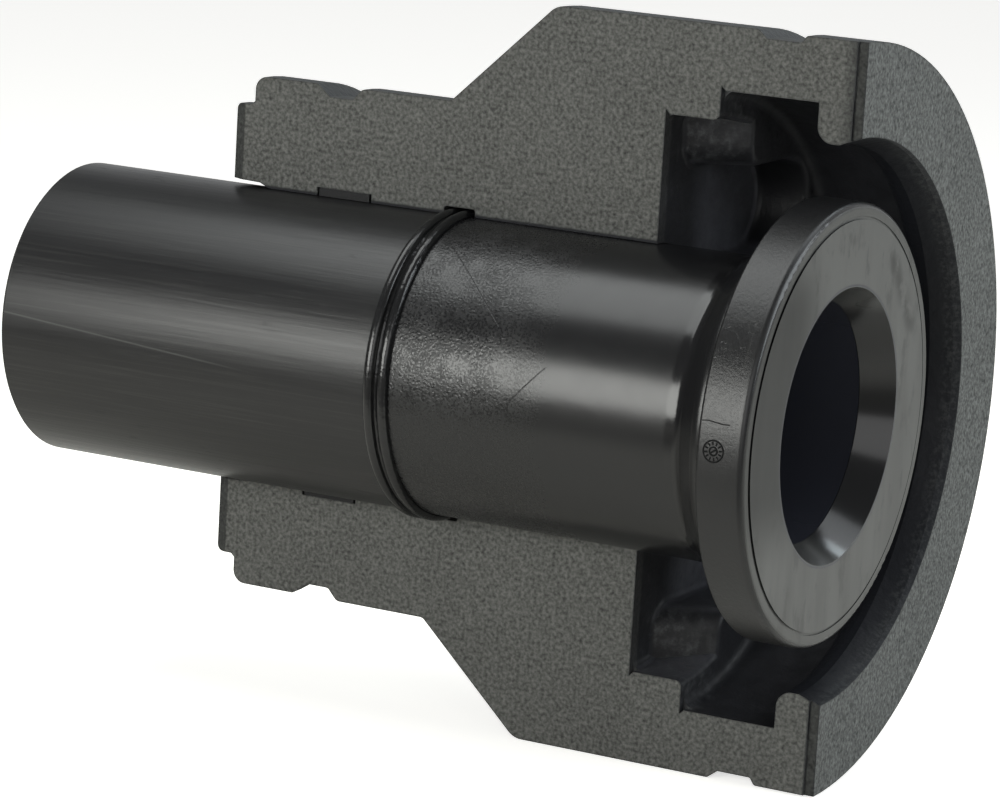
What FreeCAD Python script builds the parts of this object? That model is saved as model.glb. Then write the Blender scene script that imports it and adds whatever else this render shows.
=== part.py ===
"""Insulated plastic flange adaptor, shown opened up: a black pipe spigot is butt-welded to a
collar (stub flange), and the rear half of its moulded foam insulation is still in place.

Frame: +X runs along the pipe axis and out of the collar's sealing face, +Z is up, and the
insulation covers the +Y side. The origin is the centre of the sealing face. Millimetres.
"""

import FreeCAD, Part
import math
import os

V = FreeCAD.Vector

# Spigot pipe, nominal diameter 110 with a 10 mm wall.
pipe_diameter = 110.0
pipe_wall = 10.0
pipe_length = 161.0
pipe_end_break = 0.8

# Butt weld, measured from the sealing face, and the roll that each piece is left with.
weld_from_face = 155.5
roll_width = 4.0
roll_height = 2.5
inner_roll_height = 2.0
fusion_ridge_half_width = 0.8
fusion_ridge_height = 1.3
fusion_valley_height = 0.7

# Collar.
collar_diameter = 158.0
collar_thickness = 18.0
collar_back_round = 1.2
collar_face_round = 2.4
neck_wall = 11.5
hub_diameter = 125.0
hub_length = 9.0
hub_taper_length = 9.5
hub_taper_round = 6.0
hub_fillet = 2.0
bevel_mouth_diameter = 98.6
bevel_depth = 11.7
face_ring_diameter = 147.2
face_ring_width = 1.1
face_ring_depth = 0.7
face_step = 0.3

# Outside of the foam half shell, from the small end to the sawn end.
shell_length = 252.4
small_end_lip_diameter = 171.4
small_end_lip_length = 7.0
small_end_lip_round = 2.5
nose_riser = 1.4
nose_diameter = 193.2
nose_round = 5.0
nose_land_length = 26.5
nose_groove_depth = 4.4
nose_groove_floor = 9.5
nose_groove_ramp = 5.5
nose_groove_back = 4.0
cone_start_from_face = 161.5
cone_length = 40.8
drum_diameter = 270.8
drum_round = 8.0
strap_groove_from_face = 41.5
strap_groove_width = 18.5
strap_groove_depth = 3.0
strap_groove_ramp = 3.5
end_land_diameter = 270.0

# Inside of the foam half shell. The recess is made for a loose backing ring behind the collar.
backing_ring_diameter = 220.0
backing_ring_clearance = 2.4
shell_clearance = 0.2
mouth_relief_length = 16.0
mouth_relief_clearance = 2.3
seal_seat_from_face = 192.5
seal_seat_length = 23.0
seal_seat_depth = 3.1
weld_room = 1.6
weld_room_height = 0.6
bolt_space_depth = 21.0
bolt_space_diameter = 144.0
ring_recess_length = 37.6
ring_recess_round = 4.5
lip_width = 16.6
lip_diameter = 196.8
lip_round = 6.0
lip_mouth_diameter = 203.0
lip_mouth_flare = 0.7
lip_crest_from_face = 8.0

# Bolt pockets between the recess and the end wall: one in the parting face at each side, and
# the others spaced from it, each open towards the parting face so that the mould could draw.
bolt_circle_diameter = 180.0
bolt_count = 8
bolt_pocket_radius = 18.0
edge_pocket_reach = 101.8
edge_pocket_floor = 16.0
edge_pocket_mouth = 30.0
pocket_edge_round = 2.5
pocket_floor_round = 3.0
pocket_web_round = 8.0

# Parting face and the sawn end. The fillets in the cavity's corners stop short of the parting face.
saw_slope_degrees = 1.5
rebate_width = 3.6
rebate_depth = 1.0
corner_relief_depth = 3.0
corner_relief_height = 1.6
end_bevel_width = 4.0
end_bevel_depth = 1.6

# Seal strip, in its seat round the pipe.
seal_side_gap = 0.9
seal_back_gap = 0.1

# Values that follow from the ones above.
pipe_radius = pipe_diameter / 2
pipe_bore_radius = pipe_radius - pipe_wall
neck_bore_radius = pipe_radius - neck_wall
collar_radius = collar_diameter / 2
weld_x = -weld_from_face
shell_bore_radius = pipe_radius + shell_clearance
lip_back_x = -lip_width
step_x = lip_back_x - ring_recess_length
wall_x = step_x - bolt_space_depth
recess_radius = backing_ring_diameter / 2 + backing_ring_clearance


def corner(before, point, after, radius):
    """Tangent points and the middle of the arc that rounds a corner of an outline."""
    to_before = (before - point).normalize()
    to_after = (after - point).normalize()
    half_angle = to_before.getAngle(to_after) / 2
    run = radius / math.tan(half_angle)
    centre = point + (to_before + to_after).normalize() * (radius / math.sin(half_angle))
    middle = centre + (point - centre).normalize() * radius
    return point + to_before * run, middle, point + to_after * run


def outline_face(points):
    """Closed face in the XZ plane from (x, radius) points, or (x, radius, corner rounding)."""
    places = [V(p[0], 0, p[1]) for p in points]
    roundings = [p[2] if len(p) > 2 else 0 for p in points]
    count = len(points)
    edges = []
    starts = []
    ends = []
    arcs = []
    for i, place in enumerate(places):
        if roundings[i]:
            first, middle, last = corner(places[i - 1], place, places[(i + 1) % count], roundings[i])
            arcs.append(Part.Arc(first, middle, last).toShape())
        else:
            first = last = place
            arcs.append(None)
        starts.append(last)
        ends.append(first)
    for i in range(count):
        if arcs[i]:
            edges.append(arcs[i])
        edges.append(Part.LineSegment(starts[i], ends[(i + 1) % count]).toShape())
    return Part.Face(Part.Wire(edges))


def turned(face, angle=360):
    """Turns a face about the pipe axis, from +Z through +Y."""
    return face.revolve(V(0, 0, 0), V(-1, 0, 0), angle)


def weld_roll(side):
    """Ring of plastic that the weld squeezed out of one piece, on its outside and its bore.
    The side is -1 for the pipe and +1 for the collar's neck."""
    outer_start = V(weld_x + side * (fusion_ridge_half_width + roll_width), 0, pipe_radius)
    outer_crest = V(weld_x + side * (fusion_ridge_half_width + roll_width / 2), 0, pipe_radius + roll_height)
    outer_valley = V(weld_x + side * fusion_ridge_half_width, 0, pipe_radius + fusion_valley_height)
    ridge = V(weld_x, 0, pipe_radius + fusion_ridge_height)
    bore = pipe_bore_radius if side < 0 else neck_bore_radius
    inner_ridge = V(weld_x, 0, neck_bore_radius - fusion_valley_height)
    inner_crest = V(weld_x + side * roll_width / 2, 0, bore - inner_roll_height)
    inner_end = V(weld_x + side * roll_width, 0, bore)
    edges = [
        Part.Arc(outer_start, outer_crest, outer_valley).toShape(),
        Part.LineSegment(outer_valley, ridge).toShape(),
        Part.LineSegment(ridge, inner_ridge).toShape(),
        Part.Arc(inner_ridge, inner_crest, inner_end).toShape(),
        Part.LineSegment(inner_end, V(outer_start.x, 0, bore)).toShape(),
        Part.LineSegment(V(outer_start.x, 0, bore), outer_start).toShape(),
    ]
    return turned(Part.Face(Part.Wire(edges)))


def spigot_pipe():
    end_x = weld_x - pipe_length
    roll_x = weld_x - fusion_ridge_half_width - roll_width
    tube = turned(outline_face([
        (end_x, pipe_bore_radius + pipe_end_break),
        (end_x, pipe_radius - pipe_end_break),
        (end_x + pipe_end_break, pipe_radius),
        (roll_x, pipe_radius),
        (roll_x, pipe_bore_radius),
        (end_x + pipe_end_break, pipe_bore_radius),
    ]))
    return tube.fuse(weld_roll(-1)).removeSplitter()


def flange_collar():
    roll_x = weld_x + fusion_ridge_half_width + roll_width
    back_x = -collar_thickness
    hub_radius = hub_diameter / 2
    ring_outer = (face_ring_diameter + face_ring_width) / 2
    ring_inner = (face_ring_diameter - face_ring_width) / 2
    body = turned(outline_face([
        (roll_x, neck_bore_radius),
        (roll_x, pipe_radius),
        (back_x - hub_length - hub_taper_length, pipe_radius, hub_taper_round),
        (back_x - hub_length, hub_radius, hub_taper_round),
        (back_x, hub_radius, hub_fillet),
        (back_x, collar_radius, collar_back_round),
        (-face_step, collar_radius, collar_face_round),
        (-face_step, ring_outer),
        (-face_ring_depth, ring_outer),
        (-face_ring_depth, ring_inner),
        (0, ring_inner),
        (0, bevel_mouth_diameter / 2),
        (-bevel_depth, neck_bore_radius),
    ]))
    return body.fuse(weld_roll(1)).removeSplitter()


def shell_outline():
    """Half of the shell's section: along the outside to the sawn end and back along the inside."""
    end_x = -shell_length
    over_x = drum_diameter / 2 * math.tan(math.radians(saw_slope_degrees)) + 1
    lip_radius = small_end_lip_diameter / 2
    nose_radius = nose_diameter / 2
    nose_x = end_x + small_end_lip_length + nose_riser
    nose_groove_x = nose_x + nose_land_length
    nose_floor_x = nose_groove_x + nose_groove_ramp
    nose_back_x = nose_floor_x + nose_groove_floor
    cone_x = -cone_start_from_face
    drum_radius = drum_diameter / 2
    strap_x = -strap_groove_from_face
    strap_end_x = strap_x + strap_groove_width
    strap_radius = drum_radius - strap_groove_depth
    seat_x = -seal_seat_from_face
    seat_radius = shell_bore_radius + seal_seat_depth
    roll_reach = fusion_ridge_half_width + roll_width + weld_room
    roll_room_radius = pipe_radius + roll_height + weld_room_height
    relief_radius = pipe_radius + mouth_relief_clearance
    outside = [
        (end_x, relief_radius),
        (end_x, lip_radius, small_end_lip_round),
        (end_x + small_end_lip_length, lip_radius),
        (nose_x, lip_radius + nose_riser),
        (nose_x, nose_radius, nose_round),
        (nose_groove_x, nose_radius, 2),
        (nose_floor_x, nose_radius - nose_groove_depth, 2),
        (nose_back_x, nose_radius - nose_groove_depth, 2),
        (nose_back_x + nose_groove_back, nose_radius, 3),
        (cone_x, nose_radius, 3),
        (cone_x + cone_length, drum_radius, drum_round),
        (strap_x, drum_radius, 1.5),
        (strap_x + strap_groove_ramp, strap_radius, 1),
        (strap_end_x - strap_groove_ramp / 2, strap_radius, 1),
        (strap_end_x, end_land_diameter / 2, 1.5),
        (over_x, end_land_diameter / 2),
    ]
    inside = [
        (over_x, lip_mouth_diameter / 2 + lip_mouth_flare * over_x),
        (0, lip_mouth_diameter / 2),
        (-lip_crest_from_face, lip_diameter / 2),
        (lip_back_x, lip_diameter / 2, lip_round),
        (lip_back_x, recess_radius),
        (step_x, recess_radius, ring_recess_round),
        (step_x, shell_bore_radius),
        (weld_x + roll_reach, shell_bore_radius),
        (weld_x + roll_reach, roll_room_radius, 1),
        (weld_x - roll_reach, roll_room_radius, 1),
        (weld_x - roll_reach, shell_bore_radius),
        (seat_x, shell_bore_radius),
        (seat_x, seat_radius),
        (seat_x - seal_seat_length, seat_radius),
        (seat_x - seal_seat_length, shell_bore_radius),
        (end_x + mouth_relief_length, shell_bore_radius),
        (end_x + mouth_relief_length - 4, relief_radius - 0.4),
    ]
    return outside + inside


def prism(points, low_z, high_z):
    """Solid with an outline in the XY plane, between two heights."""
    corners = [V(x, y, low_z) for x, y in points]
    wire = Part.makePolygon(corners + corners[:1])
    return Part.Face(wire).extrude(V(0, 0, high_z - low_z))


def edge_pockets():
    """Pockets that the parting face passes through, at the top and the bottom. Their side leans
    outwards from the end wall to the recess."""
    over = 1.0
    lean = (edge_pocket_mouth - edge_pocket_floor) / bolt_space_depth
    block = prism([
        (wall_x, -over),
        (wall_x, edge_pocket_floor),
        (step_x + over, edge_pocket_mouth + lean * over),
        (step_x + over, -over),
    ], -edge_pocket_reach, edge_pocket_reach)
    return block.common(turning_space(edge_pocket_reach))


def turning_space(radius):
    """Cylinder about the pipe axis, from the end wall to just inside the ring recess."""
    return Part.makeCylinder(radius, bolt_space_depth + 1.0, V(wall_x, 0, 0), V(1, 0, 0))


def bolt_pocket(angle):
    """Round-ended slot at one bolt, open towards the parting face. The angle is from +Z to +Y."""
    depth = bolt_space_depth + 1.0
    across = bolt_circle_diameter / 2 * math.sin(angle)
    height = bolt_circle_diameter / 2 * math.cos(angle)
    end = Part.makeCylinder(bolt_pocket_radius, depth, V(wall_x, across, height), V(1, 0, 0))
    start = V(wall_x, -1, height - bolt_pocket_radius)
    slot = Part.makeBox(depth, across + 1, 2 * bolt_pocket_radius, start)
    return slot.fuse(end)


def is_web_edge(edge):
    """True for the edges along which the edge pockets' sides meet the next pockets."""
    box = edge.BoundBox
    middle = edge.valueAt((edge.FirstParameter + edge.LastParameter) / 2)
    slot_side = bolt_circle_diameter / 2 * math.cos(math.radians(45)) + bolt_pocket_radius
    lengthwise = box.XLength > bolt_space_depth / 2
    return lengthwise and middle.y > 0.5 and abs(abs(middle.z) - slot_side) < 0.1


def is_floor_edge(edge):
    """True for the edges round the bolt space's floor, but not for the one in front of the shell."""
    box = edge.BoundBox
    return box.XLength < 0.01 and abs(box.XMin - wall_x) < 0.01 and box.YMax > 0


def is_mouth_edge(edge):
    """True for the edges at which the bolt space opens into the ring recess."""
    box = edge.BoundBox
    middle = edge.valueAt((edge.FirstParameter + edge.LastParameter) / 2)
    flat = box.XLength < 0.01 and abs(box.XMin - step_x) < 0.01
    inside = math.hypot(middle.y, middle.z) < recess_radius - ring_recess_round
    return flat and inside and middle.y > 0.5


def bolt_space():
    """What the mould's core leaves behind the ring recess: a space round the neck and the bolt
    pockets that open into it."""
    room = bolt_space_diameter
    front = Part.makeBox(room, room, room, V(wall_x - room / 2, -1, -room / 2))
    space = turning_space(bolt_space_diameter / 2).common(front).fuse(edge_pockets())
    for i in range(1, bolt_count // 2):
        space = space.fuse(bolt_pocket(2 * math.pi * i / bolt_count))
    space = space.removeSplitter()
    space = space.makeFillet(pocket_web_round, [edge for edge in space.Edges if is_web_edge(edge)])
    return space.makeFillet(pocket_floor_round, [edge for edge in space.Edges if is_floor_edge(edge)])


def corner_relief(x, radius, width):
    """Cut that leaves a cavity's corner sharp at the parting face, at the top and the bottom."""
    cut = []
    for side in (1, -1):
        corners = [V(x, -1, side * (radius - width)), V(x, -1, side * (radius + corner_relief_height)),
                   V(x + corner_relief_height, -1, side * radius), V(x + width, -1, side * radius)]
        face = Part.Face(Part.makePolygon(corners + corners[:1]))
        cut.append(face.extrude(V(0, 1 + corner_relief_depth, 0)))
    return Part.makeCompound(cut)


def insulation_half_shell():
    shell = turned(outline_face(shell_outline()), 180)
    shell = shell.cut(bolt_space()).removeSplitter()
    shell = shell.makeFillet(pocket_edge_round, [edge for edge in shell.Edges if is_mouth_edge(edge)])
    shell = shell.cut(corner_relief(step_x, recess_radius, ring_recess_round + 0.5))
    shell = shell.cut(corner_relief(wall_x, edge_pocket_reach, pocket_floor_round + 0.5))
    reach = drum_diameter
    slope = math.tan(math.radians(saw_slope_degrees))
    saw_cut = prism([(-slope * reach, -reach), (reach, -reach), (reach, reach), (slope * reach, reach)],
                    -reach, reach)
    rebate = prism([(-rebate_width, -1), (reach, -1), (reach, rebate_depth), (-rebate_width, rebate_depth)],
                   -reach, reach)
    end_x = -shell_length
    bevel = prism([(end_x - 1, -1), (end_x + end_bevel_width, -1), (end_x + end_bevel_width, 0),
                   (end_x, end_bevel_depth), (end_x - 1, end_bevel_depth)], -reach, reach)
    return shell.cut(saw_cut).cut(rebate).cut(bevel)


def seal_strip():
    back = shell_bore_radius + seal_seat_depth - seal_back_gap
    near_x = -seal_seat_from_face - seal_side_gap
    far_x = -seal_seat_from_face - seal_seat_length + seal_side_gap
    return turned(outline_face([
        (far_x, shell_bore_radius),
        (far_x, back, 0.6),
        (near_x, back, 0.6),
        (near_x, shell_bore_radius),
    ]), 180)


def main():
    os.makedirs("parts", exist_ok=True)
    nodes = {
        "spigot_pipe": spigot_pipe(),
        "flange_collar": flange_collar(),
        "insulation_half_shell": insulation_half_shell(),
        "seal_strip": seal_strip(),
    }
    for name, shape in nodes.items():
        solid = shape.Solids[0]
        print(name, len(shape.Solids), shape.isValid(), round(solid.Volume / 1000, 1), "cm3")
        solid.exportStep(f"parts/{name}.step")


main()
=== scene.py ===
"""Looks for an insulated pipe flange collar: its materials, small marks, lights and camera."""

import math

import bmesh
import bpy
from mathutils import Matrix, Vector


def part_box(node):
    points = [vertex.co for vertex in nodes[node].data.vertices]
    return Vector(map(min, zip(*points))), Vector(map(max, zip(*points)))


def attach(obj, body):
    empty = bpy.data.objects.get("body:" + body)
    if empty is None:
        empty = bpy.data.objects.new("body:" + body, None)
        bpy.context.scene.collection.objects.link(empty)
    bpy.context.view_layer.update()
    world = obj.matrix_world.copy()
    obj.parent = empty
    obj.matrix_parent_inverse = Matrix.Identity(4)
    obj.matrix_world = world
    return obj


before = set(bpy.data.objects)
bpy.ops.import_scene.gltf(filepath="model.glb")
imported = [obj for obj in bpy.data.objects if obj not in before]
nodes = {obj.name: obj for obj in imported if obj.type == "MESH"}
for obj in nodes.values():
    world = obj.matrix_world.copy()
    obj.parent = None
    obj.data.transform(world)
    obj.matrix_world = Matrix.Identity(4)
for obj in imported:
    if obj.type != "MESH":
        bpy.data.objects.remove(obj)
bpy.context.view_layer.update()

# Places that the materials need, worked out from the CAD nodes, in metres.
shell_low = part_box("insulation_half_shell")[0]
pipe_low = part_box("spigot_pipe")[0]
collar_low, collar_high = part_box("flange_collar")
collar_radius = collar_high.z
weld_x = collar_low.x
shell_end_x = shell_low.x

# Sizes of the part's own features, in metres.
bevel_mouth_radius = 0.0493
face_ring_radius = 0.0736
recess_radius = 0.1124
cavity_end_x = -0.075
weld_outer_reach = 0.0055
weld_inner_reach = 0.0045

# Where one look fades in: it is absent at the first place and full at the second, in metres.
parting_fade = (0.0021, 0.0018)
sawn_fade = (-0.0015, -0.0005)
foam_bore_fade = (0.0595, 0.0590)
mouth_edge_fade = (-0.0050, -0.0010)
lip_fade = (-0.024, -0.014)
# Where the pale frost and painted mottled highlight sit in the pockets: along X, in height and in depth.
frost_highlight_fade_x = (-0.046, -0.052)
frost_highlight_fade_height = (0.058, 0.072)
frost_highlight_fade_depth = (0.035, 0.015)
end_wall_fade = (-0.0740, -0.0745)
# Painted light on the cavity's end wall rises over this depth.
deep_wall_fade = (0.022, 0.042)
pocket_fade = (-0.054, -0.056)
neck_fade = (-0.040, -0.048)
near_weld_fade = (-0.080, -0.125)
# Painted shade: dark strips on the parting face beside the sawn end, low and at the top.
low_shade_strip_fade = (-0.0046, -0.0034)
top_shade_strip_fade = (-0.0100, -0.0020)
# Painted shade: the dark gap line where the parting face meets the pipe at the bore.
bore_gap_shade_fade = (0.0566, 0.0558)
face_fade = (-0.0012, -0.0008)
bevel_fade = (-0.0122, -0.0118)
collar_bore_fade = (0.0505, 0.0500)
outside_fade = (0.0540, 0.0545)
# Painted light on the bevel's top fades in over these heights.
bevel_top_light_fade = (0.034, 0.041)

# Bands along X that hold one look between their two ends.
burnished_band = (-0.0405, -0.0365)
patch_band = (-0.0172, -0.0052)
patch_middle_band = (-0.0168, -0.0056)
pipe_line_band = (-0.311, -0.240)

# The part of the bevel with painted light at its lower left, in the rubbed colour, between two angles
# from -Y towards +Z.
bevel_low_light_band = (math.radians(-90), math.radians(-66))

# The photograph's camera: its place, and how far it looks down and leans.
camera_place = Vector((0.5922, -1.39001, 0.30762))
camera_azimuth = math.radians(27.598)
camera_elevation = math.radians(11.442)
camera_roll = math.radians(3.357)
camera_lens = 158.26
camera_sensor_width = 36.0

# Colours, as linear values.
foam_colour = (0.069, 0.070, 0.066, 1)
# Sawn end face: a lighter copy of the foam colour, painted light for the brighter light on that face.
sawn_lit_colour = (0.083, 0.086, 0.083, 1)
# Dark foam colour: the moulded skin of the bore wall and of the strip at the far end, and painted shade
# in the strips by the sawn end.
dark_skin_and_shade = (0.022, 0.023, 0.022, 1)
# Skin colour, also used for a painted highlight along the cavity's sharp edges.
skin_and_highlight_colour = (0.030, 0.032, 0.033, 1)
cavity_colour = (0.0225, 0.0230, 0.0265, 1)
# Dark lip colour, also used for painted shade at the bore's edge and along the cut faces' sharp edges.
lip_and_shade_colour = (0.0090, 0.0096, 0.0120, 1)
# Pale frost colour: partly frosted skin and partly a painted mottled highlight in the pockets.
frost_highlight_colour = (0.075, 0.078, 0.082, 1)
black_plastic = (0.0065, 0.0065, 0.0070, 1)
# Collar bore: lighter and bluer than the black plastic, painted light inside the bore.
bore_lit_colour = (0.0245, 0.0260, 0.0340, 1)
dusty_plastic = (0.035, 0.035, 0.033, 1)
# Rubbed plastic: real wear on the face and the pipe's rubbed line, and painted light on the face's top
# and on the bevel.
rubbed_and_lit_plastic = (0.072, 0.073, 0.070, 1)
seal_colour = (0.009, 0.009, 0.010, 1)
cut_edge_colour = (0.003, 0.003, 0.003, 1)
floor_colour = (0.82, 0.80, 0.74, 1)
floor_reflection_shade_colour = (0.08, 0.08, 0.08, 1)
sky_colour = (0.97, 0.99, 1.0, 1)

# The floor: its half size, how far it lies under the object, how much it glows to the camera and
# how far it is painted darker for glossy surfaces, a painted shade in their reflections. The sky goes
# from its first strength to its second as the Y of a direction goes over sky_turn.
floor_half_size = 6.0
floor_gap = 0.0002
floor_glow = 0.68
floor_reflection_shade_share = 0.8
sky_turn = (0.56, 0.86)
sky_strengths = (0.19, 0.62)

# Soft boxes: name, place, the point that they face, width, height, radiance and colour.
panels = (
    ("overhead", (-0.47, -0.16, 1.00), (-0.47, -0.16, 0.0), 0.74, 0.74, 3.2, (0.97, 1.0, 0.99)),
    ("front_left", (-0.46, -1.15, 0.24), (-0.15, 0.0, 0.02), 0.90, 0.50, 7.4, (0.99, 1.0, 0.96)),
    ("front_right", (1.25, -1.85, 0.55), (0.0, 0.0, 0.0), 1.5, 1.3, 1.5, (1, 1, 1)),
    ("right", (1.50, 0.50, 0.80), (0.0, 0.05, 0.0), 1.4, 1.2, 4.2, (0.90, 0.96, 1.0)),
    ("back", (0.14, 0.95, 0.97), (0.0, 0.0, -0.04), 0.22, 0.22, 5.0, (0.84, 0.95, 1.0)),
    ("back_soft", (0.22, 0.42, 1.05), (0.0, 0.0, -0.04), 0.5, 0.7, 2.0, (0.92, 0.97, 1.0)),
)

# Small marks on the collar's rim, with angles from -Y towards +Z and lengths in metres.
dial_x = -0.0115
dial_angle = math.radians(1.6)
dial_radius = 0.0037
dial_stroke = 0.00042
dial_sides = 40
dial_marks = 12
dial_turn = 8
dial_hub_share = 0.38
dial_mark_shares = (0.58, 0.88)
pointer_turn = 35
pointer_share = 0.30
ridge_height = 0.00012
ridge_bed = 0.0001
flash_angle = math.radians(8.8)
flash_start_x = -0.0168
flash_step = 0.0026
flash_half_width = 0.00028
flash_wander = (0.0, 0.0003, -0.0001, -0.0004, -0.0003)
patch_low_angle = math.radians(22.2)
patch_high_angle = math.radians(35.2)
# Scratches that wind round the neck: where each starts along X and round it, its slope in radians
# a metre, and the angle at which it ends.
neck_scratches = ((-0.1080, math.radians(-4.5), 20.5, math.radians(16.4)),
                  (-0.1117, math.radians(29.5), -17.75, math.radians(72.0)))
# A rubbed line along the pipe: a place on it, and its slope.
pipe_line_x = -0.299
pipe_line_z = 0.0040
pipe_line_slope = -0.0725


class Graph:
    """Adds the nodes of one material and joins them."""

    def __init__(self, name):
        self.material = bpy.data.materials.new(name)
        self.material.use_nodes = True
        self.tree = self.material.node_tree
        self.tree.nodes.clear()
        place = self.tree.nodes.new("ShaderNodeTexCoord").outputs["Object"]
        self.place = place
        self.x, self.y, self.z = self.split(place)
        across = self.calc("MULTIPLY", self.y, self.y)
        upwards = self.calc("MULTIPLY", self.z, self.z)
        self.radius = self.calc("SQRT", self.calc("ADD", across, upwards))
        self.angle = self.calc("ARCTAN2", self.z, self.calc("MULTIPLY", self.y, -1.0))
        normal = self.tree.nodes.new("ShaderNodeNewGeometry").outputs["Normal"]
        self.normal_x, self.normal_y, self.normal_z = self.split(normal)

    def join(self, socket, value):
        """Links a socket to another node's output, or sets it to a plain value."""
        if isinstance(value, bpy.types.NodeSocket):
            self.tree.links.new(value, socket)
        elif value is not None:
            socket.default_value = value

    def split(self, vector):
        parts = self.tree.nodes.new("ShaderNodeSeparateXYZ")
        self.join(parts.inputs[0], vector)
        return parts.outputs

    def calc(self, operation, a, b=None, clamp=False):
        made = self.tree.nodes.new("ShaderNodeMath")
        made.operation = operation
        made.use_clamp = clamp
        self.join(made.inputs[0], a)
        self.join(made.inputs[1], b)
        return made.outputs[0]

    def step(self, value, low, high):
        """Rises smoothly from 0 to 1 as the value goes from low to high, which may be lower than low."""
        made = self.tree.nodes.new("ShaderNodeMapRange")
        made.interpolation_type = "SMOOTHSTEP"
        self.join(made.inputs["Value"], value)
        if low < high:
            ends = (low, high, 0.0, 1.0)
        else:
            ends = (high, low, 1.0, 0.0)
        for name, end in zip(("From Min", "From Max", "To Min", "To Max"), ends):
            made.inputs[name].default_value = end
        return made.outputs["Result"]

    def band(self, value, low, high, soft):
        """1 between low and high, and 0 outside them, with soft ends."""
        return self.both(self.step(value, low - soft, low), self.step(value, high + soft, high))

    def line(self, value, centre, reach):
        """1 where the value is at the centre, falling to 0 within the reach."""
        off_centre = self.calc("ABSOLUTE", self.calc("SUBTRACT", value, centre))
        return self.step(off_centre, reach, 0.0)

    def both(self, *masks):
        product = masks[0]
        for mask in masks[1:]:
            product = self.calc("MULTIPLY", product, mask)
        return product

    def invert(self, mask):
        return self.calc("SUBTRACT", 1.0, mask)

    def scaled(self, x, y, z):
        """The place on the object with each axis scaled, which stretches a texture."""
        made = self.tree.nodes.new("ShaderNodeVectorMath")
        made.operation = "MULTIPLY"
        self.join(made.inputs[0], self.place)
        made.inputs[1].default_value = (x, y, z)
        return made.outputs[0]

    def noise(self, per_metre, detail=3.0, roughness=0.55, place=None):
        made = self.tree.nodes.new("ShaderNodeTexNoise")
        self.join(made.inputs["Vector"], place or self.place)
        made.inputs["Scale"].default_value = per_metre
        made.inputs["Detail"].default_value = detail
        made.inputs["Roughness"].default_value = roughness
        return made.outputs["Fac"]

    def cells(self, per_metre, feature="F1", place=None):
        made = self.tree.nodes.new("ShaderNodeTexVoronoi")
        made.feature = feature
        self.join(made.inputs["Vector"], place or self.place)
        made.inputs["Scale"].default_value = per_metre
        return made.outputs["Distance"]

    def mix(self, factor, a, b):
        """Colour a where the factor is 0, and colour b where it is 1."""
        made = self.tree.nodes.new("ShaderNodeMix")
        made.data_type = "RGBA"
        self.join(made.inputs["Factor"], factor)
        self.join(made.inputs[6], a)
        self.join(made.inputs[7], b)
        return made.outputs[2]

    def mix_value(self, factor, a, b):
        made = self.tree.nodes.new("ShaderNodeMix")
        made.data_type = "FLOAT"
        self.join(made.inputs["Factor"], factor)
        self.join(made.inputs[2], a)
        self.join(made.inputs[3], b)
        return made.outputs[0]

    def lighten(self, colour, amount):
        """The colour times an amount that may vary over the surface."""
        made = self.tree.nodes.new("ShaderNodeMix")
        made.data_type = "RGBA"
        made.blend_type = "MULTIPLY"
        made.inputs["Factor"].default_value = 1.0
        self.join(made.inputs[6], colour)
        grey = self.tree.nodes.new("ShaderNodeCombineXYZ")
        for socket in grey.inputs:
            self.join(socket, amount)
        self.join(made.inputs[7], grey.outputs[0])
        return made.outputs[2]

    def bump(self, height, depth, strength=1.0, under=None):
        made = self.tree.nodes.new("ShaderNodeBump")
        made.inputs["Strength"].default_value = strength
        made.inputs["Distance"].default_value = depth
        self.join(made.inputs["Height"], height)
        self.join(made.inputs["Normal"], under)
        return made.outputs["Normal"]

    def edge(self, reach, low, high):
        """1 along sharp edges, 0 further than the reach from them."""
        rounded = self.tree.nodes.new("ShaderNodeBevel")
        rounded.samples = 4
        rounded.inputs["Radius"].default_value = reach
        flat = self.tree.nodes.new("ShaderNodeNewGeometry").outputs["Normal"]
        made = self.tree.nodes.new("ShaderNodeVectorMath")
        made.operation = "DOT_PRODUCT"
        self.join(made.inputs[0], rounded.outputs["Normal"])
        self.join(made.inputs[1], flat)
        return self.step(made.outputs["Value"], high, low)

    def finish(self, colour, roughness, normal=None, specular=0.5):
        """Ends the material in one plain shader."""
        shader = self.tree.nodes.new("ShaderNodeBsdfPrincipled")
        self.join(shader.inputs["Base Color"], colour)
        self.join(shader.inputs["Roughness"], roughness)
        self.join(shader.inputs["Normal"], normal)
        self.join(shader.inputs["Specular IOR Level"], specular)
        output = self.tree.nodes.new("ShaderNodeOutputMaterial")
        self.join(output.inputs["Surface"], shader.outputs[0])
        return self.material


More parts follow.
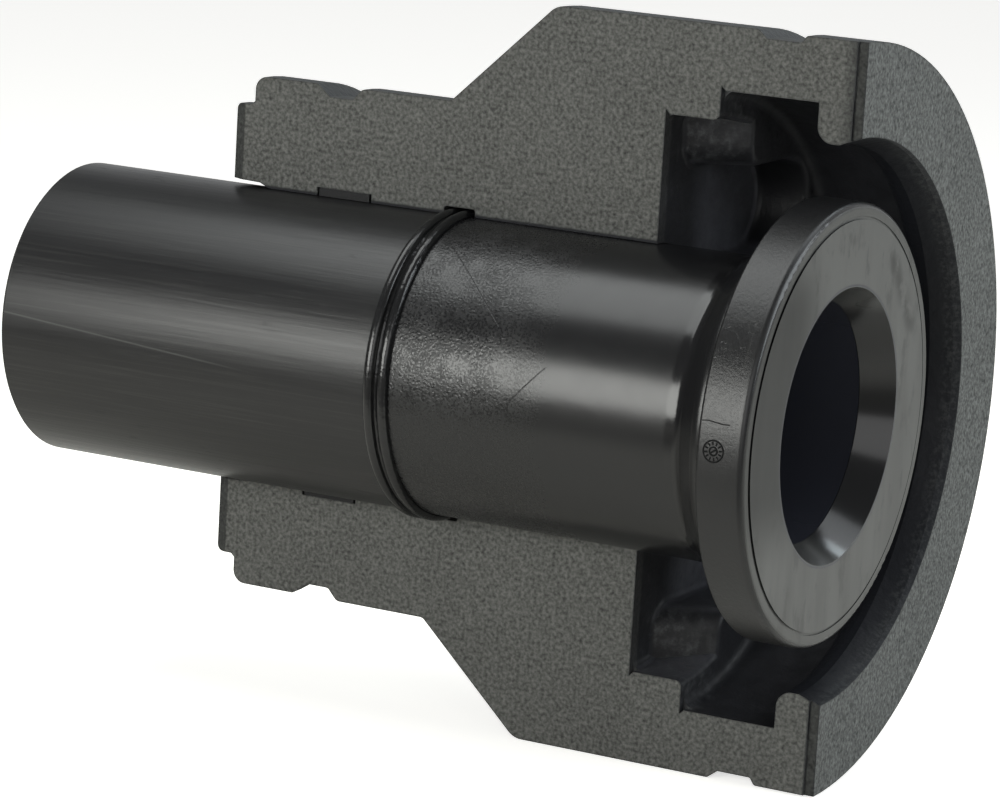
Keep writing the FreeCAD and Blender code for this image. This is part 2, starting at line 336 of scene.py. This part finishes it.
def foam_material():
    """Moulded grey bead foam. The lengthwise parting face and the sawn end are open and speckled, the
    cavity has a smooth dark skin, and the outside a dull one."""
    g = Graph("foam")
    facing_front = g.step(g.normal_y, -0.80, -0.90)
    parting = g.both(facing_front, g.step(g.y, *parting_fade))
    sawn = g.both(g.step(g.normal_x, 0.85, 0.95), g.step(g.x, *sawn_fade))
    skinned = g.both(g.invert(parting), g.invert(sawn))
    inside = g.both(g.step(g.x, cavity_end_x - 0.0006, cavity_end_x - 0.0002),
                    g.step(g.radius, recess_radius + 0.0022, recess_radius + 0.0018))
    cavity = g.both(inside, skinned)
    bore = g.both(skinned, g.step(g.radius, *foam_bore_fade),
                  g.step(g.x, cavity_end_x, cavity_end_x - 0.0005))
    mouth_edge = g.both(cavity, g.step(g.x, *mouth_edge_fade))
    lip = g.both(cavity, g.step(g.x, *lip_fade))
    # Pale patches in the pockets near the cut plane: partly frosted skin and partly a painted mottled
    # highlight.
    frost_and_highlight = g.both(cavity, g.step(g.x, *frost_highlight_fade_x),
                   g.step(g.calc("ABSOLUTE", g.z), *frost_highlight_fade_height), g.step(g.y, *frost_highlight_fade_depth))
    wall = g.step(g.x, *end_wall_fade)
    # Painted highlight along the end wall's edge at the cut plane, in the open foam's colour.
    wall_edge_highlight = g.both(cavity, g.step(g.x, cavity_end_x + 0.0012, cavity_end_x + 0.0006),
                       g.step(g.y, 0.0062, 0.0050))

    grain = g.noise(760, 1.0, 0.5)
    beads = g.cells(430)
    patches = g.noise(30, 2.0)
    speckle = g.calc("ADD", g.calc("MULTIPLY", g.calc("SUBTRACT", grain, 0.5), 2.4),
                     g.calc("MULTIPLY", g.calc("SUBTRACT", beads, 0.45), 0.40))
    shade = g.calc("ADD", 1.0, speckle)
    shade = g.calc("ADD", shade, g.calc("MULTIPLY", g.calc("SUBTRACT", patches, 0.5), 0.30))
    shade = g.calc("MAXIMUM", shade, 0.25)
    # The sawn end face takes its lighter colour here: painted light.
    open_foam = g.lighten(g.mix(sawn, foam_colour, sawn_lit_colour), shade)
    mottle = g.calc("ADD", 0.55, g.calc("MULTIPLY", g.noise(420, 3.0), 0.9))
    skin = g.lighten(skin_and_highlight_colour, mottle)
    # Painted light and shade on the cavity skin: in the pockets, surfaces that face the front are
    # darkened and the others lightened; the recess nearer the mouth is darker; the end wall is lighter
    # deeper in.
    pocket_light_and_shade = g.mix_value(g.step(g.normal_y, -0.3, -0.6), 2.0, 0.5)
    depth = g.mix_value(g.step(g.x, *pocket_fade), 0.75, pocket_light_and_shade)
    mottled = g.calc("ADD", 0.5, g.calc("MULTIPLY", g.noise(160, 3.0), 1.0))
    depth = g.mix_value(wall, depth, g.mix_value(g.step(g.y, *deep_wall_fade), 0.8, 2.7))
    cavity_skin = g.lighten(cavity_colour, g.calc("MULTIPLY", depth, mottled))
    cavity_skin = g.mix(lip, cavity_skin, lip_and_shade_colour)
    flakes = g.calc("SUBTRACT", g.noise(260, 4.0, 0.7), g.calc("MULTIPLY", wall, 0.10))
    frosted_highlight = g.both(frost_and_highlight, g.step(flakes, 0.42, 0.80))
    cavity_skin = g.mix(frosted_highlight, cavity_skin, frost_highlight_colour)
    torn = g.step(g.noise(520, 4.0, 0.7), 0.42, 0.66)
    cavity_skin = g.mix(g.calc("MULTIPLY", mouth_edge, torn), cavity_skin, g.lighten(skin_and_highlight_colour, 0.9))
    # Painted highlight: the open foam's lighter colour along the end wall's edge.
    cavity_skin = g.mix(g.calc("MULTIPLY", wall_edge_highlight, 0.35), cavity_skin, open_foam)

    # Painted shade: dark strips on the parting face beside the sawn end. The strip at the far end is the
    # moulded skin.
    low_shade_strip = g.both(g.step(g.x, *low_shade_strip_fade), g.step(g.z, 0.02, -0.02))
    top_shade_strip = g.both(g.step(g.x, *top_shade_strip_fade), g.step(g.z, -0.02, 0.02))
    end_strip = g.step(g.x, shell_end_x + 0.0047, shell_end_x + 0.0040)
    shade_and_skin_strip = g.both(parting, g.calc("MAXIMUM", g.calc("MAXIMUM", low_shade_strip, top_shade_strip), end_strip))
    # Painted shade: a dark line on the parting face at the bore's edge, for the gap round the pipe.
    bore_gap_shade = g.both(parting, g.step(g.radius, *bore_gap_shade_fade))
    colour = g.mix(skinned, open_foam, skin)
    colour = g.mix(bore, colour, dark_skin_and_shade)
    colour = g.mix(cavity, colour, cavity_skin)
    # Painted shade in the strips by the sawn end, and the far end's moulded skin, in the dark foam
    # colour.
    colour = g.mix(g.calc("MULTIPLY", shade_and_skin_strip, 0.95), colour, g.lighten(dark_skin_and_shade, shade))
    colour = g.mix(bore_gap_shade, colour, lip_and_shade_colour)
    sharp = g.edge(0.0011, 0.86, 0.98)
    # Painted shade: a dark line along the sharp edges of the parting face and the sawn end.
    painted_edge_shade = g.both(sharp, g.calc("MAXIMUM", parting, sawn))
    colour = g.mix(g.calc("MULTIPLY", painted_edge_shade, 0.75), colour, lip_and_shade_colour)
    # Painted highlight: a pale line along the cavity's sharp edges.
    painted_edge_highlight = g.both(sharp, cavity)
    colour = g.mix(g.calc("MULTIPLY", painted_edge_highlight, 0.6), colour, skin_and_highlight_colour)

    roughness = g.mix_value(skinned, 0.92, 0.72)
    satin = g.calc("ADD", 0.32, g.calc("MULTIPLY", g.noise(90, 3.0), 0.30))
    roughness = g.mix_value(cavity, roughness, satin)
    surface = g.mix_value(cavity, g.calc("ADD", grain, g.calc("MULTIPLY", beads, 0.6)),
                          g.calc("MULTIPLY", g.noise(260, 4.0), 0.8))
    shine = g.mix_value(lip, g.mix_value(cavity, 0.5, 0.35), 0.18)
    return g.finish(colour, roughness, g.bump(surface, 0.0005, 0.8), shine)


def pipe_material():
    """Extruded black pipe: smooth, with faint lengthwise draw lines, scuffs and dust."""
    g = Graph("pipe_plastic")
    lines = g.noise(700, 4.0, 0.65, g.scaled(0.03, 1.0, 1.0))
    scuffs = g.step(g.noise(260, 4.0, 0.6, g.scaled(0.35, 1.0, 1.0)), 0.62, 0.72)
    dust = g.step(g.noise(1500, 1.0), 0.74, 0.80)
    weld = g.step(g.x, weld_x - weld_outer_reach, weld_x - weld_inner_reach)
    cut_edge = g.step(g.x, pipe_low.x + 0.0014, pipe_low.x + 0.0008)
    along = g.calc("MULTIPLY", g.calc("SUBTRACT", g.x, pipe_line_x), pipe_line_slope)
    off_line = g.calc("ABSOLUTE", g.calc("SUBTRACT", g.calc("SUBTRACT", g.z, pipe_line_z), along))
    rubbed = g.both(g.step(off_line, 0.0005, 0.0001), g.step(g.y, -0.052, -0.054),
                    g.band(g.x, *pipe_line_band, 0.040))
    streaks = g.step(g.noise(1100, 4.0, 0.7, g.scaled(0.015, 1.0, 1.0)), 0.45, 0.75)
    dusty = g.calc("ADD", g.calc("MULTIPLY", dust, 0.20), g.calc("MULTIPLY", streaks, 0.35))
    colour = g.mix(dusty, black_plastic, dusty_plastic)
    colour = g.mix(g.calc("MULTIPLY", rubbed, 0.45), colour, rubbed_and_lit_plastic)
    colour = g.mix(cut_edge, colour, cut_edge_colour)
    roughness = g.calc("ADD", 0.23, g.calc("MULTIPLY", lines, 0.20))
    roughness = g.calc("ADD", roughness, g.calc("MULTIPLY", scuffs, 0.10))
    roughness = g.mix_value(weld, roughness, 0.18)
    roughness = g.mix_value(cut_edge, roughness, 0.65)
    height = g.mix_value(weld, g.calc("MULTIPLY", lines, 1.2),
                         g.calc("MULTIPLY", g.noise(330, 2.0), 2.0))
    return g.finish(colour, roughness, g.bump(height, 0.0001, 0.5))


def collar_material():
    """Moulded black collar: grainy neck, pitted rim, turned satin face and a smoother bevel."""
    g = Graph("collar_plastic")
    front = g.step(g.normal_x, 0.90, 0.97)
    face = g.both(front, g.step(g.x, *face_fade))
    outer_band = g.both(front, g.step(g.radius, face_ring_radius, face_ring_radius + 0.0004))
    bevel = g.both(g.step(g.radius, bevel_mouth_radius + 0.0004, bevel_mouth_radius),
                   g.step(g.x, *bevel_fade))
    bore = g.both(g.step(g.radius, *collar_bore_fade), g.invert(bevel))
    rim = g.both(g.step(g.radius, collar_radius - 0.0012, collar_radius - 0.0006), g.invert(face))
    outside = g.step(g.radius, *outside_fade)
    neck = g.both(g.step(g.x, *neck_fade), outside)
    near_weld = g.both(neck, g.step(g.x, *near_weld_fade))
    weld = g.both(outside, g.step(g.x, weld_x + weld_outer_reach, weld_x + weld_inner_reach))
    burnished = g.both(outside, g.band(g.x, *burnished_band, 0.002))
    patch = g.both(rim, g.band(g.x, *patch_band, 0.0004),
                   g.band(g.angle, patch_low_angle, patch_high_angle, 0.005))
    patch_middle = g.both(g.band(g.x, *patch_middle_band, 0.0004),
                          g.band(g.angle, patch_low_angle + 0.006, patch_high_angle - 0.006, 0.005))
    patch_edge = g.both(patch, g.invert(patch_middle))
    # Painted light on the bevel: at its top and at its lower left.
    bevel_top_light = g.both(bevel, g.step(g.z, *bevel_top_light_fade))
    bevel_low_light = g.both(bevel, g.band(g.angle, *bevel_low_light_band, 0.30))

    turned_place = g.tree.nodes.new("ShaderNodeCombineXYZ")
    g.join(turned_place.inputs[0], g.radius)
    turning = g.noise(2600, 2.0, 0.6, turned_place.outputs[0])
    blotches = g.noise(52, 3.0, 0.6, g.scaled(1.0, 1.9, 0.32))
    smudges = g.step(g.noise(75, 4.0, 0.6, g.scaled(1.0, 1.6, 0.7)), 0.52, 0.66)
    upper_right = g.line(g.calc("ADD", g.y, g.calc("MULTIPLY", g.z, 0.75)), 0.0790, 0.0085)
    upper_right = g.both(upper_right, g.band(g.z, 0.030, 0.052, 0.010),
                         g.step(g.noise(150, 3.0), 0.30, 0.55))
    grain = g.noise(780, 3.0, 0.7)
    pitted = g.noise(1050, 1.5, 0.5)
    salted = g.step(g.noise(1250, 2.0, 0.6), 0.28, 0.70)
    scratched = 0.0
    for start_x, start_angle, slope, end_angle in neck_scratches:
        wound = g.calc("MULTIPLY", g.calc("SUBTRACT", g.x, start_x), slope)
        along = g.line(g.calc("SUBTRACT", g.angle, wound), start_angle, 0.007)
        scratch = g.both(outside, along, g.band(g.angle, start_angle, end_angle, 0.02))
        scratched = g.calc("MAXIMUM", scratched, scratch)
    density = g.step(g.noise(110, 2.0), 0.30, 0.65)
    grain_depth = g.calc("ADD", 1.3, g.calc("MULTIPLY", density, 1.3))
    back_facing_shade = g.step(g.normal_x, -0.12, -0.50)
    specks = g.step(g.noise(620, 2.0, 0.6), 0.58, 0.74)
    waves = g.noise(55, 1.0)

    roughness = g.calc("ADD", 0.22, g.calc("MULTIPLY", g.noise(140, 2.0), 0.06))
    salt = g.calc("MULTIPLY", salted, g.calc("ADD", 0.20, g.calc("MULTIPLY", density, 0.20)))
    roughness = g.mix_value(near_weld, roughness, g.calc("ADD", 0.15, salt))
    roughness = g.mix_value(weld, roughness, 0.18)
    roughness = g.mix_value(burnished, roughness, 0.15)
    roughness = g.mix_value(rim, roughness, g.calc("ADD", 0.24, g.calc("MULTIPLY", grain, 0.20)))
    roughness = g.mix_value(face, roughness, g.calc("ADD", 0.24, g.calc("MULTIPLY", blotches, 0.18)))
    roughness = g.mix_value(patch, roughness, g.calc("ADD", 0.30, g.calc("MULTIPLY", specks, 0.25)))
    roughness = g.mix_value(bevel, roughness, 0.17)
    # The face's rubbed colour is real wear in blotches and smudges, with painted light that makes it
    # lighter towards the top and painted shade that takes it away on the left side; it is also less in a
    # band at the upper right.
    shaded_left_side = g.both(g.step(g.y, -0.010, -0.045), g.band(g.z, -0.015, 0.045, 0.030))
    rubbed = g.calc("ADD", g.mix_value(g.step(g.z, 0.0, 0.06), 0.45, 0.80),
                    g.calc("MULTIPLY", g.step(blotches, 0.25, 0.75), 0.55))
    rubbed = g.both(rubbed, g.invert(g.calc("MULTIPLY", smudges, 0.55)),
                    g.invert(g.calc("MULTIPLY", upper_right, 0.8)),
                    g.invert(g.calc("MULTIPLY", shaded_left_side, 0.95)))
    colour = g.mix(g.calc("MULTIPLY", face, rubbed), black_plastic, rubbed_and_lit_plastic)
    colour = g.mix(g.calc("MULTIPLY", outer_band, 0.5), colour, dusty_plastic)
    colour = g.mix(g.calc("MULTIPLY", patch_edge, 0.35), colour, dusty_plastic)
    colour = g.mix(g.calc("MULTIPLY", g.both(patch, specks), 0.15), colour, dusty_plastic)
    # Painted light in the rubbed colour on the bevel's top and lower left.
    colour = g.mix(g.calc("MULTIPLY", bevel_top_light, 0.6), colour, rubbed_and_lit_plastic)
    colour = g.mix(g.calc("MULTIPLY", bevel_low_light, 0.5), colour, rubbed_and_lit_plastic)
    # Painted light: the bore gets a lighter, bluish colour than the black plastic.
    colour = g.mix(bore, colour, bore_lit_colour)

    wavy = g.calc("MULTIPLY", waves, 1.2)
    height = g.mix_value(outside, 0.0, g.calc("ADD", g.calc("MULTIPLY", grain, 0.10), wavy))
    height = g.mix_value(near_weld, height, g.calc("ADD", g.calc("MULTIPLY", pitted, grain_depth), wavy))
    height = g.calc("SUBTRACT", height, g.calc("MULTIPLY", scratched, 0.8))
    height = g.mix_value(weld, height, g.calc("MULTIPLY", g.noise(330, 2.0), 3.0))
    rim_grain = g.mix_value(g.step(g.x, -0.0045, -0.0025), 1.3, 0.3)
    height = g.mix_value(rim, height, g.calc("MULTIPLY", grain, rim_grain))
    height = g.calc("ADD", height, g.calc("MULTIPLY", g.both(patch, specks), -0.5))
    height = g.mix_value(g.calc("MAXIMUM", face, bevel), height, g.calc("MULTIPLY", turning, 0.12))
    # Painted shade in the reflections: they are dimmed on the face's left side and on outside surfaces
    # that face back.
    shine = g.mix_value(g.both(face, shaded_left_side), g.mix_value(g.both(back_facing_shade, outside), 0.5, 0.14), 0.33)
    return g.finish(colour, roughness, g.bump(height, 0.00014, 0.6), shine)


def seal_material():
    g = Graph("seal")
    pores = g.noise(1400, 3.0, 0.65)
    colour = g.lighten(seal_colour, g.calc("ADD", 0.6, g.calc("MULTIPLY", pores, 0.8)))
    return g.finish(colour, 0.85, g.bump(pores, 0.0003, 0.8))


def floor_material():
    """Pale floor, white to the camera, that keeps the object's shadow. Glossy surfaces see it dimmer
    in front: a painted shade in their reflections."""
    g = Graph("floor")
    tree = g.tree
    rays = tree.nodes.new("ShaderNodeLightPath")
    # Painted shade in reflections: glossy surfaces see the floor darker in front.
    right_side = g.calc("MULTIPLY", g.step(g.x, -0.15, 0.10), 0.15)
    in_front = g.step(g.calc("SUBTRACT", g.y, right_side), -0.24, -0.45)
    reflection_shade = g.calc("MULTIPLY", in_front, rays.outputs["Is Glossy Ray"])
    glow = tree.nodes.new("ShaderNodeEmission")
    g.join(glow.inputs["Strength"], g.calc("MULTIPLY", rays.outputs["Is Camera Ray"], floor_glow))
    plain = tree.nodes.new("ShaderNodeBsdfDiffuse")
    shaded_reflection = g.calc("MULTIPLY", reflection_shade, floor_reflection_shade_share)
    g.join(plain.inputs["Color"], g.mix(shaded_reflection, floor_colour, floor_reflection_shade_colour))
    both = tree.nodes.new("ShaderNodeAddShader")
    g.join(both.inputs[0], glow.outputs[0])
    g.join(both.inputs[1], plain.outputs[0])
    output = tree.nodes.new("ShaderNodeOutputMaterial")
    g.join(output.inputs["Surface"], both.outputs[0])
    return g.material


def on_rim(along, around, height):
    """Point on the collar's rim from distances along X and round the rim, and a height above it."""
    radius = collar_radius + height
    angle = around / collar_radius
    return (along, -radius * math.cos(angle), radius * math.sin(angle))


def ridge(mesh, points, half_width, closed=False):
    """Adds a low ridge that follows (x, around) points on the rim, bedded a little in it."""
    count = len(points)
    rows = []
    for i, (along, around) in enumerate(points):
        before = points[i - 1] if closed or i else points[i]
        after = points[(i + 1) % count] if closed or i + 1 < count else points[i]
        direction = Vector((after[0] - before[0], after[1] - before[1])).normalized()
        side = Vector((-direction.y, direction.x)) * half_width
        top = side * 0.4
        section = [(side, -ridge_bed), (top, ridge_height), (-top, ridge_height), (-side, -ridge_bed)]
        places = [on_rim(along + off.x, around + off.y, height) for off, height in section]
        rows.append([mesh.verts.new(place) for place in places])
    for i in range(count if closed else count - 1):
        first, second = rows[i], rows[(i + 1) % count]
        for j in range(4):
            k = (j + 1) % 4
            mesh.faces.new((first[j], first[k], second[k], second[j]))
    if not closed:
        mesh.faces.new(rows[0][::-1])
        mesh.faces.new(rows[-1])


def add_rim_marks():
    """Small moulded dial with twelve marks, and the flash line of the mould, on the collar's rim."""
    mesh = bmesh.new()
    centre = dial_angle * collar_radius

    def polar(reach, turn):
        return (dial_x + reach * math.cos(turn), centre + reach * math.sin(turn))

    turns = [2 * math.pi * i / dial_sides for i in range(dial_sides)]
    for reach in (dial_radius, dial_radius * dial_hub_share):
        ridge(mesh, [polar(reach, turn) for turn in turns], dial_stroke, closed=True)
    for i in range(dial_marks):
        turn = math.radians(360 / dial_marks * i + dial_turn)
        ridge(mesh, [polar(dial_radius * share, turn) for share in dial_mark_shares], dial_stroke)
    pointer = math.radians(pointer_turn)
    ends = (-pointer_share, pointer_share)
    ridge(mesh, [polar(dial_radius * share, pointer) for share in ends], dial_stroke)
    flash = flash_angle * collar_radius
    path = [(flash_start_x + flash_step * i, flash + off) for i, off in enumerate(flash_wander)]
    ridge(mesh, path, flash_half_width)
    bmesh.ops.recalc_face_normals(mesh, faces=mesh.faces)
    data = bpy.data.meshes.new("rim_marks")
    mesh.to_mesh(data)
    mesh.free()
    marks = bpy.data.objects.new("rim_marks", data)
    bpy.context.scene.collection.objects.link(marks)
    data.materials.append(mark_material())
    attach(marks, "root")


def mark_material():
    g = Graph("rim_marks")
    grain = g.noise(2500, 2.0)
    colour = g.lighten(black_plastic, g.calc("ADD", 0.2, g.calc("MULTIPLY", grain, 0.4)))
    return g.finish(colour, 0.75, g.bump(grain, 0.00005, 0.5), 0.2)


def dress(name, material):
    """Gives a CAD node its material."""
    for slot in nodes[name].material_slots:
        slot.material = material


def add_floor():
    size = floor_half_size
    z = shell_low.z - floor_gap
    mesh = bpy.data.meshes.new("floor")
    corners = [(-size, -size, z), (size, -size, z), (size, size, z), (-size, size, z)]
    mesh.from_pydata(corners, [], [(0, 1, 2, 3)])
    floor = bpy.data.objects.new("floor", mesh)
    floor.data.materials.append(floor_material())
    bpy.context.scene.collection.objects.link(floor)


def add_panel(name, place, aim, width, height, radiance, colour):
    """Soft box: a rectangular lamp that faces a point, as bright as its radiance says."""
    data = bpy.data.lights.new(name, "AREA")
    data.shape = "RECTANGLE"
    data.size = width
    data.size_y = height
    data.energy = radiance * math.pi * width * height
    data.color = colour
    lamp = bpy.data.objects.new(name, data)
    lamp.location = place
    lamp.rotation_euler = (Vector(aim) - Vector(place)).to_track_quat("-Z", "Y").to_euler()
    bpy.context.scene.collection.objects.link(lamp)


def add_lights():
    world = bpy.data.worlds.new("studio")
    world.use_nodes = True
    tree = world.node_tree
    direction = tree.nodes.new("ShaderNodeTexCoord").outputs["Generated"]
    parts = tree.nodes.new("ShaderNodeSeparateXYZ")
    tree.links.new(direction, parts.inputs[0])
    towards_back = tree.nodes.new("ShaderNodeMapRange")
    tree.links.new(parts.outputs["Y"], towards_back.inputs["Value"])
    for name, value in zip(("From Min", "From Max", "To Min", "To Max"), sky_turn + sky_strengths):
        towards_back.inputs[name].default_value = value
    rays = tree.nodes.new("ShaderNodeLightPath")
    seen_white = tree.nodes.new("ShaderNodeMath")
    seen_white.operation = "MAXIMUM"
    tree.links.new(towards_back.outputs["Result"], seen_white.inputs[0])
    tree.links.new(rays.outputs["Is Camera Ray"], seen_white.inputs[1])
    background = tree.nodes["Background"]
    background.inputs["Color"].default_value = sky_colour
    tree.links.new(seen_white.outputs[0], background.inputs["Strength"])
    bpy.context.scene.world = world
    for panel in panels:
        add_panel(*panel)


def add_camera():
    sin_a, cos_a = math.sin(camera_azimuth), math.cos(camera_azimuth)
    sin_e, cos_e = math.sin(camera_elevation), math.cos(camera_elevation)
    forward = Vector((-sin_a * cos_e, cos_a * cos_e, -sin_e))
    level = Vector((cos_a, sin_a, 0))
    upright = level.cross(forward)
    right = math.cos(camera_roll) * level + math.sin(camera_roll) * upright
    up = math.cos(camera_roll) * upright - math.sin(camera_roll) * level
    data = bpy.data.cameras.new("camera")
    data.sensor_width = camera_sensor_width
    data.sensor_fit = "HORIZONTAL"
    data.lens = camera_lens
    camera = bpy.data.objects.new("camera", data)
    turn = Matrix((right, up, -forward)).transposed().to_4x4()
    camera.matrix_world = Matrix.Translation(camera_place) @ turn
    bpy.context.scene.collection.objects.link(camera)
    bpy.context.scene.camera = camera


dress("insulation_half_shell", foam_material())
dress("spigot_pipe", pipe_material())
dress("flange_collar", collar_material())
dress("seal_strip", seal_material())
add_rim_marks()
add_floor()
add_lights()
add_camera()
bpy.context.scene.view_settings.view_transform = "Standard"
